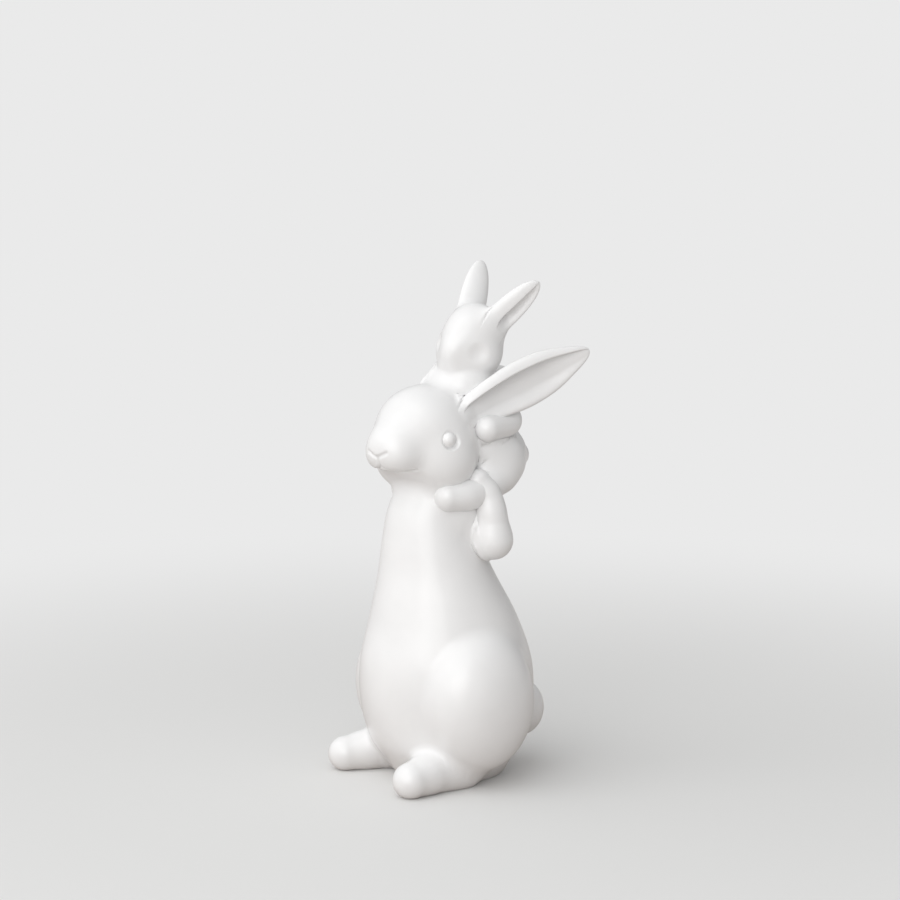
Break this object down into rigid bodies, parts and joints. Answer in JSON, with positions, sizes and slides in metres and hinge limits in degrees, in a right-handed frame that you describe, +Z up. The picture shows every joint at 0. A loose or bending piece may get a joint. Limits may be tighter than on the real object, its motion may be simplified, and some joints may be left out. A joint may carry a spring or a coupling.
{
  "type": "rabbit figurine",
  "caption": "Glazed white ceramic rabbit sitting upright with a young rabbit riding on the neck; hollow, stands free on a flat base.",
  "frame": {"origin": "point on the flat base, on the middle plane of the larger rabbit, in front of the vent hole", "axes": "+Z up; the figure faces -Y; +X is the larger rabbit's left side"},
  "size_m": [0.0768, 0.0793, 0.1826],
  "materials": {
    "white_glaze": "glossy white glaze"
  },
  "bodies": {
    "root": {"body": "white_glaze", "head": "white_glaze", "ear_left": "white_glaze", "ear_right": "white_glaze", "arm_left": "white_glaze", "arm_right": "white_glaze", "foot_left": "white_glaze", "foot_right": "white_glaze", "tail": "white_glaze", "baby_body": "white_glaze", "baby_head": "white_glaze", "baby_ear_left": "white_glaze", "baby_ear_right": "white_glaze", "baby_arm_left": "white_glaze", "baby_arm_right": "white_glaze", "baby_leg_left": "white_glaze", "baby_leg_right": "white_glaze", "baby_tail": "white_glaze"}
  },
  "joints": []
}
